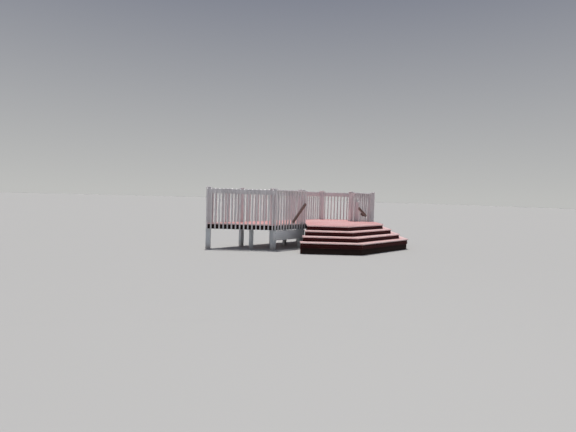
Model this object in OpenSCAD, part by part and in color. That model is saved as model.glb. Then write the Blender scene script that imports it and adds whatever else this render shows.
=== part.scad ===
// An open-air bandstand: a raised timber stage on legs, with white railings on
// every side and half-octagon steps in front of the way in. Millimetres, +Z up.
// The plan is a parallelogram: the two short sides run at 45 degrees to the long front.

/* [Stage floor] */
// Length of the long front, along the middle of the balusters
front_len = 5500; // [5200:50:5800]
// Depth of the stage, square to the long front
floor_depth = 1500; // [1450:10:1560]
// Height of the floor above the lowest ground
floor_height = 800; // [780:10:840]
// Thickness of the floor boards, the landing and the treads
board_t = 38; // [32:1:42]
// Height of the joists and rim boards
joist_h = 140; // [130:5:150]
// Thickness of the joists, rim boards and rail boards
joist_t = 38; // [34:1:42]

/* [Posts] */
// Width of the square corner and opening posts
post_w = 140; // [130:5:150]
// Width of the square posts along the back
back_post_w = 115; // [100:5:120]
// Thickness of a post cap
cap_t = 25; // [20:1:30]
// How far a post cap stands out past its post
cap_over = 20; // [15:1:25]
// How far a post in a sharp corner stands in from the corner, along the side
corner_inset = 100; // [90:5:110]

/* [Railings] */
// Height of the railing above the floor
rail_h = 1067; // [1000:1:1100]
// Length of each front railing, from its corner to the way in
rail_len = 1430; // [1380:10:1480]
// Width of a square baluster
bar_w = 40; // [36:1:44]
// Nearest spacing of the balusters, centre to centre
bar_pitch = 122; // [110:1:130]
// How far the balusters reach below the top of the floor
bar_drop = 190; // [182:1:200]
// Height of the rail board behind the top of the balusters
rail_board_h = 140; // [120:5:150]
// Width of the flat board on top of the front railings
top_board_w = 105; // [98:1:115]
// Slope cut on the top of the balusters of the open railings
bar_slope = 25; // [15:1:30]

/* [Steps] */
// How far the landing stands out from the long front
landing_out = 1530; // [1470:10:1560]
// Going of one step
going = 260; // [250:5:280]
// Rise of one step
rise = 150; // [145:1:155]
// How far a tread stands out past the riser under it
nosing = 25; // [20:1:30]
// Thickness of a riser board
riser_t = 25; // [22:1:30]
// Where the plane of the left flank crosses the long front
flank_at = 200; // [150:10:240]
// How much wider each lower tread is at its outer end
flare = 80; // [60:5:90]
// Height of the sleeper under the bottom riser
sleeper_h = 200; // [190:5:210]

/* [Boards and hand bars] */
// Height of the wide boards beside the steps
skirt_h = 290; // [270:5:300]
// Gap between the balusters and the wide board
skirt_gap = 15; // [10:1:20]
// Depth of a sloping hand bar
hand_w = 90; // [80:1:100]
// Run of the left hand bar along the front
hand_run = 640; // [600:10:680]
// Height of the top end of the left hand bar above the floor
hand_top = 640; // [600:10:680]
// Height of the low end of the left hand bar above the floor
hand_low = 40; // [30:5:60]
// Width of the short post beside the landing
newel_w = 140; // [130:1:145]
// Height of the short post above the floor
newel_h = 750; // [720:1:800]
// Run of the right hand bar, from the middle of the short post
short_run = 430; // [400:10:460]
// Height of the right hand bar above the floor at the short post
short_top = 450; // [430:5:470]
// Height of the low end of the right hand bar above the floor
short_low = 190; // [170:5:210]

/* [Hidden] */
root2 = sqrt(2);
edge_in = bar_w / 2;
joist_in = edge_in + joist_t;
joist_top = floor_height - board_t;
joist_base = joist_top - joist_h;
post_top = floor_height + rail_h + 15;
corner_reach = (post_w / 2 + cap_over) * root2;
seat = 0.3;
near = [0, 0];
far = [front_len, 0];
left = [-floor_depth, floor_depth];
right = [front_len - floor_depth, floor_depth];
open_right = [front_len - rail_len, 0];
inward = joist_in + post_w / 2;
corner_gap = 30;
sharp_start = 50;
post_sharp = left + [(inward + corner_inset) / root2, (inward - corner_inset) / root2];
post_near = [joist_in * (root2 - 1) + post_w / 2 + seat, inward];
post_open = [rail_len - post_w / 2, inward];
plan_left = -floor_depth + (sharp_start - edge_in) / root2;
plan_right = front_len - (sharp_start - edge_in) / root2;
plan_back = post_sharp[1] + corner_reach;
plan_front = -landing_out - 3 * going;
shift = [-(plan_left + plan_right) / 2, -(plan_front + plan_back) / 2, 0];
side_len = floor_depth * root2;
back_len = front_len / 4;
back_x = [for (i = [1:3]) left[0] + i * back_len];
back_post_y = floor_depth - joist_in - back_post_w / 2;
sharp_gap = (inward + corner_inset + post_w) / root2 + 12;
bar_gap = (bar_pitch - bar_w) / 2;
leg_w = 100;
beam_w = 90;
beam_ends = [0.09, 0.91];
end_line = rail_len + edge_in + 1;
riser_back = nosing + riser_t;
inner_gap = 80;
bar_t = joist_t;
newel_x = front_len - end_line + 1.5 * newel_w + edge_in + 6;

// The same place seen from the opposite corner of the stage
function opposite(p) = [front_len - floor_depth - p[0], floor_depth - p[1]];
// Height of the top of tread k: 0 is the landing
function level(k) = floor_height - k * rise;
// End line of tread k, given as the sum of its distances along and out from the front
function end_at(k) = end_line - k * flare * root2;
// Plan point where a flank at this offset meets an end line
function end_point(off, e) = let (u = flank_at - off * root2) [(u + e) / 2, -(e - u) / 2];
// Plan corner between the flank and the front edge at this offset
function corner(off) = [flank_at - off * root2 + landing_out + off, -(landing_out + off)];
function across(p) = [front_len - p[0], p[1]];
// Plan of the landing, drawn in by an offset and at its two ends
function landing_plan(off, e, back) = [
  [e + back, back], end_point(off, e), corner(off),
  across(corner(off)), across(end_point(off, e)), across([e + back, back])
];
// Plan of the floor, drawn in by d
function floor_plan(d) = [
  [d * root2 - d, d], [front_len - d * root2 - d, d],
  [front_len - d * root2 - floor_depth + d, floor_depth - d],
  [d * root2 - floor_depth + d, floor_depth - d]
];

module at(p, turn = 0) {
  translate(shift)
    translate([p[0], p[1], 0])
      rotate([0, 0, turn])
        children();
}

module slab(points, base, height) {
  translate(shift)
    translate([0, 0, base])
      linear_extrude(height)
        polygon(points);
}

module square_prism(w, base, top) {
  translate([-w / 2, -w / 2, base])
    cube([w, w, top - base]);
}

module post(w) {
  color("white") {
    union() {
      square_prism(w, 0, post_top);
      square_prism(w + 2 * cap_over, post_top, post_top + cap_t);
    }
  }
}

// The space that the posts take, used to trim the boards that meet them
module post_space(base, top) {
  at(post_sharp, -45) square_prism(post_w, base, top);
  at(post_near) square_prism(post_w, base, top);
  at(post_open) square_prism(post_w, base, top);
  at(across(post_open)) square_prism(post_w, base, top);
  at(opposite(post_sharp), -45) square_prism(post_w, base, top);
  at(opposite(post_near)) square_prism(post_w, base, top);
  for (x = back_x) {
    at([x, back_post_y]) square_prism(back_post_w, base, top);
  }
}

// A band between two distances in from the line of the front, as wide as the plan
module band(y0, y1, base, height) {
  at([-2 * floor_depth, y0])
    translate([0, 0, base])
      cube([front_len + 4 * floor_depth, y1 - y0, height]);
}

// A board along a side, behind the balusters and outside the posts
module side_board(from, turn, x0, x1, base, height) {
  slanted = turn == -45 || turn == 135;
  difference() {
    intersection() {
      at(from, turn)
        translate([x0, edge_in, base])
          cube([x1 - x0, joist_t, height]);
      slab(floor_plan(edge_in), base, height);
      if (slanted) {
        band(joist_in, floor_depth - joist_in, base, height);
      } else {
        band(edge_in, floor_depth - edge_in, base, height);
      }
    }
    post_space(base - 5, base + height + 5);
  }
}

// One baluster; the open railings have a slope on its top end
module baluster(x, top, slope) {
  translate([x - bar_w / 2, 0, 0])
    rotate([90, 0, 90])
      linear_extrude(bar_w)
        polygon([
          [-edge_in, floor_height - bar_drop], [edge_in, floor_height - bar_drop],
          [edge_in, top], [-edge_in, top - slope]
        ]);
}

// One railing panel. start and end are the lengths kept clear of balusters,
// x0 and x1 the ends of the rail board
module panel(from, turn, length, start, end, x0, x1, capped) {
  clear = length - start - end - bar_w;
  count = floor(clear / bar_pitch);
  step = clear / count;
  rail_top = floor_height + rail_h;
  bar_top = capped ? rail_top - board_t : rail_top;
  board_top = capped ? bar_top : bar_top - bar_slope;
  color("white") {
    union() {
      at(from, turn) {
        for (i = [0:count]) {
          baluster(start + bar_w / 2 + i * step, bar_top, capped ? 0 : bar_slope);
        }
        if (capped) {
          translate([start, joist_in - top_board_w, bar_top])
            cube([length - start - end, top_board_w, board_t]);
        }
      }
      side_board(from, turn, x0, x1, board_top - rail_board_h, rail_board_h);
    }
  }
}

module floor_deck() {
  color("lightpink")
    difference() {
      slab(floor_plan(edge_in), joist_top, board_t);
      post_space(joist_top - 5, floor_height + 5);
    }
}

module floor_joists() {
  count = 17;
  span = front_len + floor_depth;
  color("dimgray")
    difference() {
      intersection() {
        slab(floor_plan(joist_in), joist_base, joist_h);
        union() {
          for (i = [1:count - 1]) {
            at([-floor_depth + i * span / count, 0])
              translate([-joist_t / 2, joist_in, joist_base])
                cube([joist_t, floor_depth - 2 * joist_in, joist_h]);
          }
        }
      }
      band((floor_depth - beam_w) / 2, (floor_depth + beam_w) / 2, joist_base - 5, joist_h + 10);
      post_space(joist_base - 5, joist_top + 5);
    }
}

function beam_x(f) = -floor_depth / 2 + f * front_len;

module floor_beam() {
  color("dimgray")
    intersection() {
      slab(floor_plan(joist_in), joist_base, joist_h);
      band((floor_depth - beam_w) / 2, (floor_depth + beam_w) / 2, joist_base, joist_h);
    }
}

module inner_legs() {
  color("gainsboro") {
    for (i = [0:3]) {
      at([beam_x(beam_ends[0] + i * (beam_ends[1] - beam_ends[0]) / 3), floor_depth / 2])
        square_prism(leg_w, 0, joist_base);
    }
    for (p = [[landing_joist(-2), -300], [landing_joist(-2), -landing_out + 500]]) {
      at(p) square_prism(beam_w, 0, joist_base);
      at(across(p)) square_prism(beam_w, 0, joist_base);
    }
  }
}

module landing_deck() {
  color("lightpink")
    slab(landing_plan(0, end_line, edge_in), joist_top, board_t);
}

// Place of a landing joist along the front; 0 is the middle one
function landing_joist(i) =
  front_len / 2 + i * (front_len - 2 * end_line + landing_out * root2) / 9;

module landing_frame() {
  color("dimgray")
    intersection() {
      slab(landing_plan(-riser_back, end_line + inner_gap, edge_in), joist_base, joist_h);
      union() {
        for (i = [-4:4]) {
          at([landing_joist(i), 0])
            translate([-joist_t / 2, -landing_out, joist_base])
              cube([joist_t, landing_out + edge_in, joist_h]);
        }
      }
    }
}

// One side of tread k: -1 is the left flank, 0 the front, 1 the right flank
module tread(k, side) {
  out = k * going;
  in = (k - 1) * going - riser_back;
  e = end_at(k);
  left_part = [end_point(out, e), corner(out), corner(in), end_point(in, e)];
  front_part = [corner(out), across(corner(out)), across(corner(in)), corner(in)];
  plan = side == 0 ? front_part : side < 0 ? left_part : [for (p = left_part) across(p)];
  color("lightpink")
    slab(plan, level(k) - board_t, board_t);
}

// The boards under the outer edge of level k, round the three sides
module riser(k) {
  out = k * going - nosing;
  in = out - riser_t;
  e = end_at(k) + 15 * root2;
  base = k == 3 ? sleeper_h - 20 : level(k + 1);
  color("maroon")
    slab([
      end_point(out, e), corner(out), across(corner(out)), across(end_point(out, e)),
      across(end_point(in, e)), across(corner(in)), corner(in), end_point(in, e)
    ], base, level(k) - board_t - base);
}

// The notched boards that carry the treads, drawn outwards from the landing's edge
module stringer() {
  foot = 3 * going - riser_back;
  translate([0, joist_t / 2, 0])
    rotate([90, 0, 0])
      linear_extrude(joist_t)
        polygon([
          [-300, joist_base], [-riser_back, joist_base],
          [-riser_back, level(1) - board_t], [going - riser_back, level(1) - board_t],
          [going - riser_back, level(2) - board_t], [2 * going - riser_back, level(2) - board_t],
          [2 * going - riser_back, level(3) - board_t], [foot, level(3) - board_t],
          [foot, sleeper_h + seat], [foot - 90, sleeper_h + seat], [-300, joist_base - 230]
        ]);
}

module step_stringers() {
  foot = 3 * going - riser_back;
  e = end_at(3) + inner_gap * root2;
  mid_e = (end_line + corner(0)[0] + landing_out) / 2;
  mid = end_point(0, mid_e);
  color("saddlebrown") {
    for (f = [0.2, 0.5, 0.8]) {
      at([corner(0)[0] + f * (front_len - 2 * corner(0)[0]), -landing_out], -90) stringer();
    }
    at(mid, -135) stringer();
    at(across(mid), -45) stringer();
    flank = [end_point(foot, e), corner(foot), corner(foot - 90), end_point(foot - 90, e)];
    slab(flank, 0, sleeper_h);
    slab([for (p = flank) across(p)], 0, sleeper_h);
    slab([
      corner(foot) + [seat, 0], across(corner(foot)) - [seat, 0],
      across(corner(foot - 90)) - [seat, 0], corner(foot - 90) + [seat, 0]
    ], 0, sleeper_h);
  }
}

// The upright boards that close and carry the outer ends of the steps
module cheek(k) {
  e0 = end_at(k) + 20 * root2;
  e1 = e0 + joist_t * root2;
  out = k * going - riser_back;
  in = k == 0 ? -(end_line - flank_at) / root2 + 60 : (k - 1) * going - riser_back;
  plan = [end_point(out, e0), end_point(out, e1), end_point(in, e1), end_point(in, e0)];
  slab(plan, 0, level(k) - board_t);
  slab([for (p = plan) across(p)], 0, level(k) - board_t);
}

module step_cheeks() {
  color("maroon") {
    for (k = [0:3]) {
      cheek(k);
    }
  }
}

// A wide board on the faces of two legs, under the rim beside the steps
module skirt(from, length) {
  base = floor_height - bar_drop - skirt_gap - skirt_h;
  color("white")
    difference() {
      at([from, edge_in])
        translate([0, 0, base])
          cube([length, joist_t, skirt_h]);
      post_space(base - 5, base + skirt_h + 5);
    }
}

// Upright outline of a sloping bar, between two points of its middle line
module bar_outline(x0, z0, x1, z1, depth) {
  run = sqrt((x1 - x0) * (x1 - x0) + (z1 - z0) * (z1 - z0));
  translate([x0, z0])
    rotate(atan2(z1 - z0, x1 - x0))
      translate([0, -depth / 2])
        square([run, depth]);
}

// Turns an upright outline into a board in front of the front balusters,
// between two distances out from them
module outside_board(near_side, far_side) {
  at(near)
    translate([0, -edge_in - near_side, 0])
      rotate([90, 0, 0])
        linear_extrude(far_side - near_side)
          children();
}

module handrail_left() {
  color("saddlebrown")
    outside_board(0, bar_t)
      bar_outline(
        rail_len - hand_w / 2, floor_height + hand_top,
        rail_len - hand_run, floor_height + hand_low, hand_w);
}

// The short post stands on the ground, beside the landing's end
module newel_right() {
  color("white")
    at([newel_x, -edge_in - newel_w / 2])
      square_prism(newel_w, 0, floor_height + newel_h);
}

// The right hand bar crosses the short post; a block holds its low end off the railing
module handrail_right() {
  fall = (short_top - short_low) / short_run;
  function height(x) = floor_height + short_low + fall * (short_run - x);
  color("saddlebrown")
    union() {
      outside_board(newel_w, newel_w + bar_t)
        bar_outline(
          newel_x - newel_w / 2 - 20, height(-newel_w / 2 - 20),
          newel_x + short_run, height(short_run), hand_w);
      outside_board(0, newel_w + 10)
        bar_outline(
          newel_x + short_run - 150, height(short_run - 150),
          newel_x + short_run - 30, height(short_run - 30), hand_w - 24);
    }
}

at(post_sharp, -45) post(post_w);  // post_left_corner
at(post_near) post(post_w);  // post_near_corner
at(post_open) post(post_w);  // post_opening_left
at(across(post_open)) post(post_w);  // post_opening_right
at(opposite(post_sharp), -45) post(post_w);  // post_right_corner
at(opposite(post_near)) post(post_w);  // post_back_right
for (x = back_x) at([x, back_post_y]) post(back_post_w);  // back_posts
inner_legs();
floor_beam();
floor_joists();
color("dimgray") side_board(near, 0, -post_w, front_len, joist_base, joist_h);  // rim_front
color("dimgray") side_board(right, 180, -post_w, front_len, joist_base, joist_h);  // rim_back
color("dimgray") side_board(left, -45, 0, side_len, joist_base, joist_h);  // rim_left
color("dimgray") side_board(far, 135, 0, side_len, joist_base, joist_h);  // rim_right
floor_deck();
landing_deck();
landing_frame();
panel(left, -45, side_len, sharp_start, corner_gap, 0, side_len, false);  // panel_left
panel(near, 0, rail_len, corner_gap, 0, -post_w, rail_len, true);  // panel_front_left
panel(open_right, 0, rail_len, 0, sharp_gap, 0, rail_len - inward, true);  // panel_front_right
panel(far, 135, side_len, sharp_start, corner_gap, 0, side_len, false);  // panel_right
panel([back_x[0], floor_depth], 180, back_len, bar_gap, sharp_gap, 0, back_len - inward, false);  // panel_back_1
panel([back_x[1], floor_depth], 180, back_len, bar_gap, bar_gap, 0, back_len, false);  // panel_back_2
panel([back_x[2], floor_depth], 180, back_len, bar_gap, bar_gap, 0, back_len, false);  // panel_back_3
panel(right, 180, back_len, corner_gap, bar_gap, -post_w, back_len, false);  // panel_back_4
tread(1, -1);  // tread_1_left
tread(1, 0);  // tread_1_front
tread(1, 1);  // tread_1_right
tread(2, -1);  // tread_2_left
tread(2, 0);  // tread_2_front
tread(2, 1);  // tread_2_right
tread(3, -1);  // tread_3_left
tread(3, 0);  // tread_3_front
tread(3, 1);  // tread_3_right
riser(0);  // riser_1
riser(1);  // riser_2
riser(2);  // riser_3
riser(3);  // riser_4
step_stringers();
step_cheeks();
skirt(joist_in * (root2 - 1), rail_len - joist_in * (root2 - 1));  // skirt_left
skirt(front_len - rail_len, rail_len - inward);  // skirt_right
handrail_left();
handrail_right();
newel_right();
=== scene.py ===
import math
import random
import bpy
import bmesh
from mathutils import Matrix, Vector


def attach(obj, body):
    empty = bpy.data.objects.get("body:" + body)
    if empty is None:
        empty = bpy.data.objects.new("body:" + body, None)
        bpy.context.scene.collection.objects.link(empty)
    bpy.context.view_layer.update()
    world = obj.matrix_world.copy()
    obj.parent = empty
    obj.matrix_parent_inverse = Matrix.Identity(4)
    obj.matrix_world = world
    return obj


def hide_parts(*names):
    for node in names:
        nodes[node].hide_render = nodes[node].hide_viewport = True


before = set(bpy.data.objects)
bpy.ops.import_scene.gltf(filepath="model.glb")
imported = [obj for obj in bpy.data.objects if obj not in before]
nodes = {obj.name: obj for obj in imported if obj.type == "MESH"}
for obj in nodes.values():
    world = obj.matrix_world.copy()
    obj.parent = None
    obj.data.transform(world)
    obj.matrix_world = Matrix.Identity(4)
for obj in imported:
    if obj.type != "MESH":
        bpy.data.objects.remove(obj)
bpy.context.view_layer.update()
print("stage and steps loaded:", len(nodes), "nodes")

# The photograph's view: the camera stands in front of the left railing
view = {
    "corner": (-2.0, 0.33146),  # where the two near railings meet
    "side": -0.3981,  # metres from the corner post to the view's middle line
    "away": 13.332,
    "eye": 1.7514,
    "heading": 46.154,  # degrees from +Y towards +X
    "stand": 46.065,  # the same, for the line on which the camera stands
    "pitch": 2.908,
    "roll": 1.690,
    "focal": 436.65,  # in pixels of a picture this wide:
    "pictureWidth": 576,
    "sensor": 36,
    "seesTo": 300,
}


def setCamera():
    stand = math.radians(view["stand"])
    heading = math.radians(view["heading"])
    pitch = math.radians(view["pitch"])
    roll = math.radians(view["roll"])
    place = Vector((*view["corner"], view["eye"]))
    place -= view["side"] * Vector((math.cos(stand), -math.sin(stand), 0))
    place -= view["away"] * Vector((math.sin(stand), math.cos(stand), 0))
    data = bpy.data.cameras.new("camera")
    data.sensor_fit = "HORIZONTAL"
    data.sensor_width = view["sensor"]
    data.lens = view["sensor"] * view["focal"] / view["pictureWidth"]
    data.clip_end = view["seesTo"]
    camera = bpy.data.objects.new("camera", data)
    camera.matrix_world = (
        Matrix.Translation(place) @ Matrix.Rotation(-heading, 4, "Z")
        @ Matrix.Rotation(math.pi / 2 - pitch, 4, "X") @ Matrix.Rotation(roll, 4, "Z"))
    bpy.context.scene.collection.objects.link(camera)
    bpy.context.scene.camera = camera


setCamera()
print("camera set")

light = {
    "skyLow": (0.51, 0.512, 0.50),  # near the horizon, close to the floor's own brightness
    "skyHigh": (0.19, 0.205, 0.26),
    "skyRise": 0.45,  # where the high colour is reached, 1 being overhead
    "sunStrength": 2.55,
    "sunAngle": 4,
    "sunColour": (1.0, 0.98, 0.95),
    "sunFrom": (1.2, 1.7, 12.5),  # high, and a little behind the object
    "fillPower": 24,
    "fillSize": 7,
    "fillPlace": (-8, -9, 5),
    "fillAim": (0, 0, 1),
}


def setLight():
    world = bpy.data.worlds.new("softSky")
    world.use_nodes = True
    tree = world.node_tree
    sky = tree.nodes["Background"]
    place = tree.nodes.new("ShaderNodeTexCoord")
    split = tree.nodes.new("ShaderNodeSeparateXYZ")
    rise = tree.nodes.new("ShaderNodeMapRange")
    rise.inputs["From Min"].default_value = 0.0
    rise.inputs["From Max"].default_value = light["skyRise"]
    mix = tree.nodes.new("ShaderNodeMix")
    mix.data_type = "RGBA"
    mix.inputs["A"].default_value = (*light["skyLow"], 1)
    mix.inputs["B"].default_value = (*light["skyHigh"], 1)
    tree.links.new(place.outputs["Generated"], split.inputs["Vector"])
    tree.links.new(split.outputs["Z"], rise.inputs["Value"])
    tree.links.new(rise.outputs["Result"], mix.inputs["Factor"])
    tree.links.new(mix.outputs["Result"], sky.inputs["Color"])
    bpy.context.scene.world = world
    bpy.context.scene.view_settings.view_transform = "Standard"
    sun = bpy.data.lights.new("highSoftSun", "SUN")
    sun.energy = light["sunStrength"]
    sun.angle = math.radians(light["sunAngle"])
    sun.color = light["sunColour"]
    sunObject = bpy.data.objects.new("highSoftSun", sun)
    sunObject.rotation_euler = Vector(light["sunFrom"]).to_track_quat("Z", "Y").to_euler()
    bpy.context.scene.collection.objects.link(sunObject)
    fill = bpy.data.lights.new("frontFill", "AREA")
    fill.energy = light["fillPower"]
    fill.size = light["fillSize"]
    fillObject = bpy.data.objects.new("frontFill", fill)
    fillObject.location = light["fillPlace"]
    fromAim = Vector(light["fillPlace"]) - Vector(light["fillAim"])
    fillObject.rotation_euler = fromAim.to_track_quat("Z", "Y").to_euler()
    bpy.context.scene.collection.objects.link(fillObject)


setLight()
print("light set")

# Colours and wear of each painted or bare timber, linear
finishes = {
    "whitePaint": {
        "colour": (0.80, 0.775, 0.79), "shade": (0.63, 0.60, 0.62), "bare": (0.36, 0.33, 0.30),
        "dirt": (0.30, 0.26, 0.21), "dirtTop": 0.24, "roughness": 0.46, "grain": 0.14,
        "edge": 0.35, "worn": 0.67, "streak": 0.34, "gloss": 0.4,
        "low": (0.58, 0.62, 0.655),  # painted shade: bluish grey below the floor, where the stage shades the posts
    },
    # bluish, lighter copy of the white paint: painted shade colour for the skirts under the floor's edge
    "skirtWhiteInShade": {
        "colour": (0.84, 0.86, 0.88), "shade": (0.74, 0.755, 0.78), "bare": (0.45, 0.43, 0.41),
        "dirt": (0.42, 0.39, 0.35), "dirtTop": 0.5, "roughness": 0.5, "grain": 0.14,
        "edge": 0.35, "worn": 0.67, "streak": 0.3, "gloss": 0.35,
    },
    "pinkPaint": {
        "colour": (0.86, 0.43, 0.415), "shade": (0.74, 0.345, 0.335), "bare": (0.90, 0.77, 0.755),
        "dirt": (0.50, 0.34, 0.31), "dirtTop": -1.0, "roughness": 0.40, "grain": 0.22,
        # full edge wear pales the rounded nosings: partly wear, partly a painted highlight
        "edge": 1.0, "worn": 0.64, "trodden": 0.7, "streak": 0.25, "gloss": 0.5,
    },
    "maroonPaint": {
        "colour": (0.044, 0.006, 0.007), "shade": (0.020, 0.003, 0.004), "bare": (0.17, 0.06, 0.052),
        "dirt": (0.055, 0.026, 0.022), "dirtTop": 0.16, "roughness": 0.55, "grain": 0.15,
        "edge": 0.9, "worn": 0.68, "streak": 0.15, "gloss": 0.1,
    },
    # near black: dark timber, and partly painted shade under the stage
    "darkTimber": {
        "colour": (0.022, 0.011, 0.010), "shade": (0.011, 0.006, 0.006), "bare": (0.05, 0.034, 0.03),
        "dirt": (0.06, 0.045, 0.035), "dirtTop": 0.15, "roughness": 0.75, "grain": 0.3,
        "edge": 0.4, "worn": 0.66, "streak": 0.3, "gloss": 0.12,
    },
    "bareTimber": {
        "colour": (0.22, 0.145, 0.125), "shade": (0.095, 0.06, 0.052), "bare": (0.55, 0.48, 0.45),
        "dirt": (0.055, 0.043, 0.04), "dirtTop": -1.0, "roughness": 0.66, "grain": 0.45,
        "edge": 0.8, "worn": 0.62, "streak": 0.6, "gloss": 0.25,
    },
    "rustyScrew": {
        "colour": (0.13, 0.085, 0.07), "shade": (0.07, 0.045, 0.04), "bare": (0.20, 0.15, 0.13),
        "dirt": (0.06, 0.045, 0.04), "dirtTop": -1.0, "roughness": 0.5, "grain": 0.1,
        "edge": 0.0, "worn": 0.6, "streak": 0.0, "gloss": 0.5,
    },
}
wornWay = {"middle": 0.75, "full": 0.2, "reach": 1.25}  # up the steps and over the floor, across the stage
# Stretch is across and along the board; grain, patch and spots are scale, detail and roughness.
# The rest are shares, and ranges that run from the first two numbers to the last two.
pattern = {
    "grainStretch": (34, 1.6), "grain": (1.6, 6.0, 0.62), "grainShare": 0.55,
    "spotStretch": (2.6, 0.8), "spots": (16.0, 6.0, 0.72), "patch": (2.3, 5.0, 0.6),
    "shade": (0.62, 1.15),
    # low and lowWaver set where the painted shade below the floor begins
    "low": (0.70, 0.62, 0.0, 0.85), "lowWaver": 0.06,
    "rubbedSoft": 0.1, "rubbedMost": 0.6, "rubbedDeep": 0.5,
    "edgeSpots": (0.40, 0.54, 0.3),
    "troddenGrain": (0.45, 0.66, 0.0, 0.8),
    "dustGrain": (0.56, 0.74),
    "splashMost": 0.75, "splashPatch": (0.3, 0.6, 0.45, 1.0),
    "sheen": (0.2, 1.4), "smoother": 0.06, "rougher": 0.24, "bump": 0.004,
}
madeMaterials = {}


def nodeMaker(material):
    tree = material.node_tree

    def make(kind, **settings):
        node = tree.nodes.new(kind)
        for key, value in settings.items():
            socket = node.inputs.get(key.replace("_", " ")) if key[0].isupper() else None
            if socket is not None:
                socket.default_value = value
            else:
                setattr(node, key, value)
        return node

    return tree, make, tree.links.new


def paintedTimber(finish, run):
    # run is the way the grain goes: "up", the degrees of the board in plan, or a slope
    slope = float(run[5:]) if str(run).startswith("slope") else 0
    key = f"{finish}_{run}".replace("-", "m").replace(".", "_")
    if key in madeMaterials:
        return madeMaterials[key]
    look = finishes[finish]
    material = bpy.data.materials.new(key)
    material.use_nodes = True
    material.diffuse_color = (*look["colour"], 1)
    tree, make, link = nodeMaker(material)
    shader = tree.nodes["Principled BSDF"]
    shader.inputs["Specular IOR Level"].default_value = look["gloss"]
    place = make("ShaderNodeTexCoord")
    turn = make("ShaderNodeMapping", vector_type="TEXTURE")
    turn.inputs["Rotation"].default_value = (
        0, -math.radians(slope), 0 if isinstance(run, str) else math.radians(run))
    link(place.outputs["Object"], turn.inputs["Vector"])

    def stretched(across, along):
        node = make("ShaderNodeMapping")
        node.inputs["Scale"].default_value = (
            (across, across, along) if run == "up" else (along, across, across))
        link(turn.outputs["Vector"], node.inputs["Vector"])
        return node.outputs["Vector"]

    def noise(vector, scale, detail, roughness):
        node = make("ShaderNodeTexNoise", Scale=scale, Detail=detail, Roughness=roughness)
        link(vector, node.inputs["Vector"])
        return node.outputs["Fac"]

    def ranged(value, low, high, first=0.0, last=1.0):
        node = make("ShaderNodeMapRange", From_Min=low, From_Max=high, To_Min=first, To_Max=last)
        link(value, node.inputs["Value"])
        return node.outputs["Result"]

    def worked(kind, *values):
        node = make("ShaderNodeMath", operation=kind)
        for i, value in enumerate(values):
            if isinstance(value, (int, float)):
                node.inputs[i].default_value = value
            else:
                link(value, node.inputs[i])
        return node.outputs["Value"]

    def blend(factor, first, second):
        node = make("ShaderNodeMix", data_type="RGBA")
        link(factor, node.inputs["Factor"])
        for socket, value in ((node.inputs["A"], first), (node.inputs["B"], second)):
            if isinstance(value, tuple):
                socket.default_value = (*value, 1)
            else:
                link(value, socket)
        return node.outputs["Result"]

    grain = noise(stretched(*pattern["grainStretch"]), *pattern["grain"])
    patch = noise(place.outputs["Object"], *pattern["patch"])
    spots = noise(stretched(*pattern["spotStretch"]), *pattern["spots"])
    tone = make("ShaderNodeAttribute", attribute_name="boardToneAndHighlight").outputs["Fac"]
    edge = make("ShaderNodeAttribute", attribute_name="edgeWearAndHighlight").outputs["Fac"]
    split = make("ShaderNodeSeparateXYZ")
    link(place.outputs["Object"], split.inputs["Vector"])
    # the darker shade: grain, slow patches, and each board's own tone, which on the cap rails is a painted
    # highlight instead
    shaded = worked("ADD", worked("MULTIPLY_ADD", grain, pattern["grainShare"], patch), tone)
    colour = blend(ranged(shaded, *pattern["shade"]), look["colour"], look["shade"])
    # painted shade: the posts turn bluish grey below the floor, where the stage shades them
    if "low" in look:
        below = worked("ADD", split.outputs["Z"], worked("MULTIPLY", patch, pattern["lowWaver"]))
        colour = blend(ranged(below, *pattern["low"]), colour, look["low"])
    # rubbed paint: spots, board edges, and the worn way up the steps; the pale nosings and board sides are
    # partly a painted highlight
    wornTo = look["worn"] + pattern["rubbedSoft"]
    rubbed = ranged(spots, look["worn"], wornTo, 0.0, pattern["rubbedMost"])
    edges = worked("MULTIPLY", edge, ranged(spots, *pattern["edgeSpots"], look["edge"]))
    rubbed = worked("MAXIMUM", rubbed, edges)
    if "trodden" in look:
        off = worked("ABSOLUTE", worked("SUBTRACT", split.outputs["X"], wornWay["middle"]))
        near = ranged(off, wornWay["reach"], wornWay["full"], 0.0, look["trodden"])
        trodden = worked("MULTIPLY", near, ranged(grain, *pattern["troddenGrain"]))
        rubbed = worked("MAXIMUM", rubbed, trodden)
    colour = blend(rubbed, colour, look["bare"])
    # dust along the grain, and dirt splashed up from below
    dust = worked("MULTIPLY", ranged(grain, *pattern["dustGrain"]), look["streak"])
    if look["dirtTop"] > 0:
        low = ranged(split.outputs["Z"], look["dirtTop"], 0.0, 0.0, pattern["splashMost"])
        splash = worked("MULTIPLY", low, ranged(patch, *pattern["splashPatch"]))
        dust = worked("MAXIMUM", dust, splash)
    colour = blend(dust, colour, look["dirt"])
    link(colour, shader.inputs["Base Color"])
    smooth, rough = look["roughness"] - pattern["smoother"], look["roughness"] + pattern["rougher"]
    sheen = ranged(worked("ADD", patch, rubbed), *pattern["sheen"], smooth, rough)
    link(sheen, shader.inputs["Roughness"])
    bump = make("ShaderNodeBump", Strength=look["grain"], Distance=pattern["bump"])
    height = worked("SUBTRACT", grain, worked("MULTIPLY", rubbed, pattern["rubbedDeep"]))
    link(height, bump.inputs["Height"])
    link(bump.outputs["Normal"], shader.inputs["Normal"])
    madeMaterials[key] = material
    return material


# How meshes are joined, cut and eased: distances in metres, turns in radians
meshing = {
    "merge": 0.00005, "flatTurn": math.radians(0.5), "sharpTurn": 0.35, "cutSnap": 0.00001,
    "speck": 0.00002, "narrow": 1.5, "level": 0.9, "topBand": 0.001,
}


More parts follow.
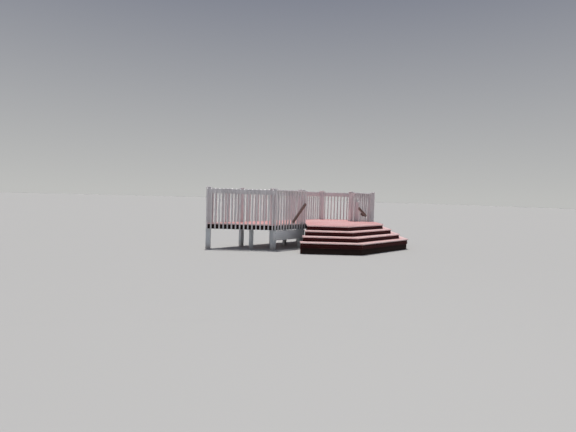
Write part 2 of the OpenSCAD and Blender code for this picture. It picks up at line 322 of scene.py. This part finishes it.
def nodeCopy(name):
    mesh = bmesh.new()
    mesh.from_mesh(nodes[name].data)
    bmesh.ops.remove_doubles(mesh, verts=mesh.verts, dist=meshing["merge"])
    bmesh.ops.dissolve_limit(
        mesh, angle_limit=meshing["flatTurn"], use_dissolve_boundaries=False,
        verts=mesh.verts, edges=mesh.edges)
    for face in mesh.faces:
        face.smooth = False
    return mesh


def easeEdges(mesh, width, segments=2, chosen=None):
    # the new faces are marked smooth, so that they can be found again as worn edges
    sharp = [e for e in mesh.edges
             if len(e.link_faces) == 2 and e.is_convex
             and e.calc_face_angle(0) > meshing["sharpTurn"] and (chosen is None or chosen(e))]
    made = bmesh.ops.bevel(
        mesh, geom=sharp, offset=width, offset_type="OFFSET", segments=segments,
        profile=0.5, affect="EDGES", clamp_overlap=True, material=-1)
    for face in made["faces"]:
        longest = max(e.calc_length() for e in face.edges)
        face.smooth = face.calc_area() < meshing["narrow"] * width * longest
    bmesh.ops.dissolve_degenerate(mesh, dist=meshing["speck"], edges=mesh.edges)


def atTop(mesh):
    # chooses the edges round the very top
    high = max(v.co.z for v in mesh.verts)
    return lambda edge: min(v.co.z for v in edge.verts) > high - meshing["topBand"]


def cutBetween(mesh, direction, low, high):
    # keeps the part of the mesh between two planes and closes the cuts
    part = mesh.copy()
    for distance, outward in ((high, direction), (low, -direction)):
        if distance is None:
            continue
        cut = bmesh.ops.bisect_plane(
            part, geom=part.verts[:] + part.edges[:] + part.faces[:], plane_co=direction * distance,
            plane_no=outward, clear_outer=True, dist=meshing["cutSnap"])
        edges = [g for g in cut["geom_cut"] if isinstance(g, bmesh.types.BMEdge)]
        if edges:
            bmesh.ops.edgenet_fill(part, edges=edges)
    bmesh.ops.recalc_face_normals(part, faces=part.faces)
    for face in part.faces:
        face.smooth = False
    return part


def newPiece():
    whole = bmesh.new()
    whole.verts.layers.float.new("boardToneAndHighlight")
    whole.faces.layers.float.new("edgeWearAndHighlight")
    return whole


def joinBoard(whole, board, tone, materialIndex=0, endWearAndHighlight=0.0, topWearAndHighlight=0.0):
    # adds one board to a piece, with its own tone, and wear that on the boards' sides and tops is partly a
    # painted highlight
    scrap = bpy.data.meshes.new("scrap")
    board.to_mesh(scrap)
    board.free()
    vertCount, faceCount = len(whole.verts), len(whole.faces)
    whole.from_mesh(scrap)
    bpy.data.meshes.remove(scrap)
    toneAndHighlightLayer = whole.verts.layers.float["boardToneAndHighlight"]
    edgeLayer = whole.faces.layers.float["edgeWearAndHighlight"]
    whole.verts.ensure_lookup_table()
    whole.faces.ensure_lookup_table()
    for vert in whole.verts[vertCount:]:
        vert[toneAndHighlightLayer] = tone
    for face in whole.faces[faceCount:]:
        flat = abs(face.normal.z) > 0.5
        # sides and tops take wear that is partly a painted highlight; eased edges take full wear
        face[edgeLayer] = 1.0 if face.smooth else topWearAndHighlight if flat else endWearAndHighlight
        face.smooth = False
        face.material_index = materialIndex


def finishPiece(name, mesh, finish, runs, slotName, *replaced):
    data = bpy.data.meshes.new(name)
    mesh.to_mesh(data)
    mesh.free()
    piece = bpy.data.objects.new(name, data)
    bpy.context.scene.collection.objects.link(piece)
    for run in runs:
        data.materials.append(paintedTimber(finish, run))
    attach(piece, "root")
    if replaced:
        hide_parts(*replaced)


def finishTimber(name, source, tone, finish, run, slotName):
    # a node that keeps its shape, as one timber of one tone
    whole = newPiece()
    joinBoard(whole, source, tone)
    finishPiece(name + "_timber", whole, finish, (run,), slotName, name)


def topOutline(mesh):
    top = max((f for f in mesh.faces if f.normal.z > meshing["level"]), key=lambda f: f.calc_area())
    return [v.co.to_2d() for v in top.verts]


def insideOutline(point, outline, margin):
    # true where the point lies inside the outline and clear of its edges
    inside = False
    for i, a in enumerate(outline):
        b = outline[i - 1]
        along = b - a
        t = max(0.0, min(1.0, (point - a).dot(along) / along.length_squared))
        if (a + along * t - point).length < margin:
            return False
        if (a.y > point.y) != (b.y > point.y):
            if point.x < a.x + (point.y - a.y) / (b.y - a.y) * (b.x - a.x):
                inside = not inside
    return inside


screwShape = {"sides": 8, "taper": 0.7, "sunk": 0.0001}


def screwHeads(name, places, radius, depth, finish, slotName, sides=screwShape["sides"]):
    mesh = newPiece()
    for point, outward in places:
        turned = outward.to_track_quat("Z", "X").to_matrix().to_4x4()
        middle = Matrix.Translation(point + outward * (depth / 2 - screwShape["sunk"]))
        bmesh.ops.create_cone(
            mesh, cap_ends=True, cap_tris=False, segments=sides, radius1=radius,
            radius2=radius * screwShape["taper"], depth=depth, matrix=middle @ turned)
    finishPiece(name, mesh, finish, (0,), slotName)


def local(x, y, z):
    # the source counts from the near corner; the frame's middle is elsewhere
    return Vector((x + view["corner"][0], y + view["corner"][1], z))


tones = random.Random(7)  # the boards' own tones, the same in every run
half = math.sqrt(0.5)
south = Vector((0, -1, 0))
leftOut = Vector((-half, -half, 0))
rightOut = Vector((half, -half, 0))
up = Vector((0, 0, 1))

# Floor, landing and treads, cut into boards with open joints
boards = {
    "floorWidth": 0.142, "treadWidth": 0.15, "gap": 0.006, "ease": 0.004, "noseEase": 0.009,
    # endWearAndHighlight pales the boards' sides and ends: partly wear, partly a painted highlight on the
    # nosings
    "buttGap": 0.003, "settle": 0.0012, "tones": (-0.16, 0.18), "endWearAndHighlight": 0.85,
    "treadWearAndHighlight": (0.35, 0.7),  # paler on top of the inner board and of the one at the nose: partly wear, partly a painted highlight
    "screwIn": 0.036, "screwRadius": 0.0045, "screwDepth": 0.0012, "screwSunk": 0.0004,
    "screwMargin": 0.018, "treadPitch": 0.42,
}
joists = {"first": -3.5, "span": 7, "spaces": 17, "landingMiddle": 0.75, "landingPitch": 0.52908}
joistLines = [joists["first"] + i * joists["span"] / joists["spaces"] for i in range(1, joists["spaces"])]
landingLines = [joists["landingMiddle"] + i * joists["landingPitch"] for i in range(-4, 5)]
buttJoists = joistLines[4:12]  # the floor boards may meet end to end over these


def layBoards(name, direction, width, ease, buttLines=(), worn=(0.0, 0.0)):
    # cuts a plain slab into boards side by side; worn, partly wear and partly a painted highlight, is for
    # the inner boards and the outermost
    source = nodeCopy(name)
    outline = topOutline(source)
    top = max(v.co.z for v in source.verts)
    reach = [v.co.dot(direction) for v in source.verts]
    first, last = min(reach), max(reach)
    count = max(1, round((last - first) / width))
    width = (last - first) / count
    whole = newPiece()
    rows = []
    along = Vector((-direction.y, direction.x, 0))
    for i in range(count):
        outermost = i == count - 1
        low = first + i * width + boards["gap"] / 2 if i else None
        high = None if outermost else first + (i + 1) * width - boards["gap"] / 2
        row = cutBetween(source, direction, low, high)
        rows.append(first + (i + 0.5) * width)
        ends = tones.sample(buttLines, 1) if buttLines else []
        starts = [None] + [e + boards["buttGap"] / 2 for e in ends]
        stops = [e - boards["buttGap"] / 2 for e in ends] + [None]
        for start, stop in zip(starts, stops):
            board = cutBetween(row, along, start, stop) if ends else row
            easeEdges(board, ease)
            settled = tones.uniform(0, boards["settle"])
            bmesh.ops.translate(board, verts=board.verts, vec=(0, 0, -settled))
            tone = tones.uniform(*boards["tones"])
            joinBoard(whole, board, tone, 0, boards["endWearAndHighlight"], worn[1] if outermost else worn[0])
        if ends:
            row.free()
    source.free()
    return whole, outline, top, rows, width, along


def deckScrews(name, outline, top, rows, width, direction, along, lines):
    places = []
    for row in rows:
        for line in lines:
            for side in (-1, 1):
                d = row + side * (width / 2 - boards["screwIn"])
                point = direction * d + along * line
                if insideOutline(point.to_2d(), outline, boards["screwMargin"]):
                    places.append((Vector((point.x, point.y, top - boards["screwSunk"])), up))
    screwHeads(name + "_screws", places, boards["screwRadius"], boards["screwDepth"],
               "rustyScrew", "pink_paint")
    return len(places)


screwCount = 0
for name, lines, butts in (
        ("floor_deck", joistLines, buttJoists), ("landing_deck", landingLines, ())):
    mesh, outline, top, rows, width, along = layBoards(
        name, south, boards["floorWidth"], boards["ease"], butts)
    finishPiece(name + "_boards", mesh, "pinkPaint", (0,), "pink_paint", name)
    screwCount += deckScrews(name, outline, top, rows, width, south, along, lines)
for k in (1, 2, 3):
    for side, out, run in (("left", leftOut, -45), ("front", south, 0), ("right", rightOut, 45)):
        name = f"tread_{k}_{side}"
        mesh, outline, top, rows, width, along = layBoards(
            name, out, boards["treadWidth"], boards["noseEase"], (), boards["treadWearAndHighlight"])
        finishPiece(name + "_boards", mesh, "pinkPaint", (run,), "pink_paint", name)
        reach = [Vector((p.x, p.y, 0)).dot(along) for p in outline]
        middle, span = (min(reach) + max(reach)) / 2, max(reach) - min(reach)
        steps = max(2, round(span / boards["treadPitch"]))
        lines = [middle + (i - (steps - 1) / 2) * span / steps for i in range(steps)]
        screwCount += deckScrews(name, outline, top, rows, width, out, along, lines)
print("floor and treads boarded,", screwCount, "screws")

# Risers: two boards one above the other, the upper one thinner, mitred where the steps turn
risers = {
    "share": 0.5, "gap": 0.0004, "ease": 0.005, "setBack": 0.008, "tones": (-0.12, 0.14),
    "corners": (1.73, 3.77), "front": -1.53, "mitreGap": 0.0005,
    "screwIn": 0.06, "screwPitch": 0.6, "screwRadius": 0.0045, "screwDepth": 0.0012,
}
mitre = Vector((1, 1 - math.sqrt(2), 0)).normalized()
mitreAt = local(risers["corners"][0], risers["front"], 0).dot(mitre)
otherMitre = Vector((-mitre.x, mitre.y, 0))
otherAt = local(risers["corners"][1], risers["front"], 0).dot(otherMitre)


def riserScrews(board, out):
    # one row of screws along the middle of the board's outer face
    along = Vector((-out.y, out.x, 0))
    reach = [v.co.dot(along) for v in board.verts]
    first, last = min(reach) + risers["screwIn"], max(reach) - risers["screwIn"]
    face = max(v.co.dot(out) for v in board.verts)
    height = (min(v.co.z for v in board.verts) + max(v.co.z for v in board.verts)) / 2
    count = max(2, round((last - first) / risers["screwPitch"]) + 1)
    steps = [first + i * (last - first) / (count - 1) for i in range(count)]
    return [(out * face + along * step + up * height, out) for step in steps]


riserPlaces = []
for k in (1, 2, 3, 4):
    name = f"riser_{k}"
    source = nodeCopy(name)
    low = min(v.co.z for v in source.verts)
    high = max(v.co.z for v in source.verts)
    middleLine = low + risers["share"] * (high - low)
    whole = newPiece()
    for upper in (False, True):
        limits = (middleLine + risers["gap"], None) if upper else (None, middleLine)
        band = cutBetween(source, up, *limits)
        left = cutBetween(band, mitre, None, mitreAt - risers["mitreGap"])
        front = cutBetween(band, mitre, mitreAt + risers["mitreGap"], None)
        right = cutBetween(front, otherMitre, None, otherAt - risers["mitreGap"])
        middle = cutBetween(front, otherMitre, otherAt + risers["mitreGap"], None)
        front.free()
        band.free()
        for index, board, out in ((1, left, leftOut), (0, middle, south), (2, right, rightOut)):
            if upper:
                face = max(v.co.dot(out) for v in board.verts)
                uncut, board = board, cutBetween(board, out, None, face - risers["setBack"])
                uncut.free()
            riserPlaces += riserScrews(board, out)
            easeEdges(board, risers["ease"])
            joinBoard(whole, board, tones.uniform(*risers["tones"]), index)
    source.free()
    finishPiece(name + "_boards", whole, "maroonPaint", (0, -45, 45), "maroon_paint", name)
screwHeads("riser_screws", riserPlaces, risers["screwRadius"], risers["screwDepth"],
           "rustyScrew", "maroon_paint")
print("risers boarded,", len(riserPlaces), "screws")

# Posts: eased edges, and a wide chamfer on the caps
posts = {"ease": 0.005, "capChamfer": 0.018, "shortChamfer": 0.03, "tones": (-0.05, 0.05)}
for name in nodes:
    if not (name.startswith("post_") or name in ("back_posts", "inner_legs", "newel_right")):
        continue
    source = nodeCopy(name)
    if name != "inner_legs":
        chamfer = posts["shortChamfer" if name == "newel_right" else "capChamfer"]
        easeEdges(source, chamfer, 1, atTop(source))
    easeEdges(source, posts["ease"])
    finishTimber(name, source, tones.uniform(*posts["tones"]), "whitePaint", "up", "white_paint")
print("posts dressed")

# Railings: each baluster keeps its own tone, and is screwed to the boards behind it
railings = {
    "pitch": 0.122, "barWidth": 0.04, "barFace": 0.02, "barBack": -0.0201, "ease": 0.003,
    # capPaintedHighlight lightens the flat cap rail from capHighlightFrom up: a painted highlight
    "tones": (-0.18, 0.2), "capEase": 0.011, "capHighlightFrom": 1.8295, "capPaintedHighlight": -0.3,
    "screwRadius": 0.004, "screwDepth": 0.0015, "screwHeights": (0.662, 0.742, 1.742, 1.806),
}
panels = {  # start in plan, turn, length, then the clear ends, and whether a flat rail caps it
    "panel_left": ((-1.5, 1.5), -45, 2.12132, 0.05, 0.03, False),
    "panel_front_left": ((0, 0), 0, 1.43, 0.03, 0, True),
    "panel_front_right": ((4.07, 0), 0, 1.43, 0, 0.27222, True),
    "panel_right": ((5.5, 0), 135, 2.12132, 0.05, 0.03, False),
    "panel_back_1": ((-0.125, 1.5), 180, 1.375, 0.041, 0.27222, False),
    "panel_back_2": ((1.25, 1.5), 180, 1.375, 0.041, 0.041, False),
    "panel_back_3": ((2.625, 1.5), 180, 1.375, 0.041, 0.041, False),
    "panel_back_4": ((4.0, 1.5), 180, 1.375, 0.03, 0.041, False),
}
barScrews = []
for name, (start, turn, length, begin, end, capped) in panels.items():
    run = Vector((math.cos(math.radians(turn)), math.sin(math.radians(turn)), 0))
    out = Vector((run.y, -run.x, 0))
    origin = local(*start, 0)
    clear = length - begin - end - railings["barWidth"]
    count = math.floor(clear / railings["pitch"])
    step = clear / count
    first = begin + railings["barWidth"] / 2
    source = nodeCopy(name)
    if capped:  # the flat rail on top is rounded over, for hands
        easeEdges(source, railings["capEase"], 3, atTop(source))
    easeEdges(source, railings["ease"], 1)
    whole = newPiece()
    joinBoard(whole, source, 0.0)
    toneAndHighlightLayer = whole.verts.layers.float["boardToneAndHighlight"]
    barTones = [tones.uniform(*railings["tones"]) for i in range(count + 1)]
    for vert in whole.verts:
        away = vert.co - origin
        # painted highlight: the cap rail's tone is set lighter
        if capped and vert.co.z > railings["capHighlightFrom"]:
            vert[toneAndHighlightLayer] = railings["capPaintedHighlight"]
        elif away.dot(out) > railings["barBack"]:
            nearest = round((away.dot(run) - first) / step)
            vert[toneAndHighlightLayer] = barTones[max(0, min(count, nearest))]
    finishPiece(name + "_timber", whole, "whitePaint", ("up",), "white_paint", name)
    for i in range(count + 1):
        for z in railings["screwHeights"]:
            place = origin + run * (first + i * step) + out * railings["barFace"] + up * z
            barScrews.append((place, out))
screwHeads("railing_screws", barScrews, railings["screwRadius"], railings["screwDepth"],
           "rustyScrew", "white_paint")
print("railings dressed,", len(barScrews), "screws")

# Wide boards beside the steps, and the sloping hand bars
sideBoards = {
    "ease": 0.004, "handEase": 0.009, "tones": (-0.05, 0.05),
    "boltsAt": (0.094, 1.36, 4.14, 5.2), "boltHeights": (0.37, 0.53), "boltFace": 0.02,
    "boltRadius": 0.012, "boltDepth": 0.006, "boltSides": 12,
}
handScrews = {
    "radius": 0.006, "depth": 0.002, "sides": 10,
    "leftCount": 5, "leftFirst": 0.85, "leftPitch": 0.1165, "leftFace": -0.058,
    "leftFoot": (0.79, 0.84), "leftRun": 0.595, "leftRise": 0.6,
    "rightAt": (4.25, 4.32, 4.6, 4.66), "rightFace": -0.198,
    "rightFoot": (4.715, 0.99), "rightSlope": 0.6047,
}
for name, finish, run, slotName in (
        ("skirt_left", "skirtWhiteInShade", 0, "white_paint"), ("skirt_right", "skirtWhiteInShade", 0, "white_paint"),
        ("handrail_left", "bareTimber", "slope45.2", "bare_timber"),
        ("handrail_right", "bareTimber", "slope-31.2", "bare_timber")):
    source = nodeCopy(name)
    easeEdges(source, sideBoards["handEase" if finish == "bareTimber" else "ease"])
    finishTimber(name, source, tones.uniform(*sideBoards["tones"]), finish, run, slotName)
bolts = [(local(x, sideBoards["boltFace"], z), south)
         for x in sideBoards["boltsAt"] for z in sideBoards["boltHeights"]]
screwHeads("skirt_bolts", bolts, sideBoards["boltRadius"], sideBoards["boltDepth"],
           "whitePaint", "white_paint", sideBoards["boltSides"])
handPlaces = []
for i in range(handScrews["leftCount"]):  # where the left bar crosses the balusters
    x = handScrews["leftFirst"] + i * handScrews["leftPitch"]
    footX, footZ = handScrews["leftFoot"]
    z = footZ + (x - footX) / handScrews["leftRun"] * handScrews["leftRise"]
    handPlaces.append((local(x, handScrews["leftFace"], z), south))
for x in handScrews["rightAt"]:
    footX, footZ = handScrews["rightFoot"]
    z = footZ + handScrews["rightSlope"] * (footX - x)
    handPlaces.append((local(x, handScrews["rightFace"], z), south))
screwHeads("hand_bar_screws", handPlaces, handScrews["radius"], handScrews["depth"],
           "rustyScrew", "bare_timber", handScrews["sides"])
print("side boards and hand bars dressed")

# Framing and the step ends
# the framing's near-black timber is partly painted shade under the stage
framing = {
    "floor_beam": ("darkTimber", 0), "floor_joists": ("darkTimber", 90),
    "landing_frame": ("darkTimber", 90), "rim_front": ("darkTimber", 0),
    "rim_back": ("darkTimber", 0), "rim_left": ("darkTimber", -45),
    "rim_right": ("darkTimber", -45), "step_stringers": ("darkTimber", 0),
    "step_cheeks": ("maroonPaint", "up"),
}
framingEase = 0.003
sleeperEnds = {"middle": 0.75, "from": 2.4, "below": 0.21, "reach": 0.0216}
for name, (finish, run) in framing.items():
    source = nodeCopy(name)
    if name == "step_stringers":  # the sleeper's ends go on to the boards that close the steps
        for vert in source.verts:
            side = vert.co.x - sleeperEnds["middle"]
            if vert.co.z < sleeperEnds["below"] and abs(side) > sleeperEnds["from"]:
                vert.co += Vector((math.copysign(half, side), half, 0)) * sleeperEnds["reach"]
    easeEdges(source, framingEase, 1)
    slotName = "maroon_paint" if finish == "maroonPaint" else "dark_timber"
    finishTimber(name, source, 0.0, finish, run, slotName)
print("framing dressed")

studioFloor = {"sides": 96, "radius": 120, "colour": (0.53, 0.525, 0.51)}


def makeFloor():
    mesh = bmesh.new()
    bmesh.ops.create_circle(
        mesh, cap_ends=True, segments=studioFloor["sides"], radius=studioFloor["radius"])
    data = bpy.data.meshes.new("studioFloor")
    mesh.to_mesh(data)
    mesh.free()
    floor = bpy.data.objects.new("studioFloor", data)
    bpy.context.scene.collection.objects.link(floor)
    material = bpy.data.materials.new("paleFloor")
    material.use_nodes = True
    shader = material.node_tree.nodes["Principled BSDF"]
    shader.inputs["Base Color"].default_value = (*studioFloor["colour"], 1)
    shader.inputs["Roughness"].default_value = 1.0
    shader.inputs["Specular IOR Level"].default_value = 0.0
    data.materials.append(material)


makeFloor()
print("floor laid")
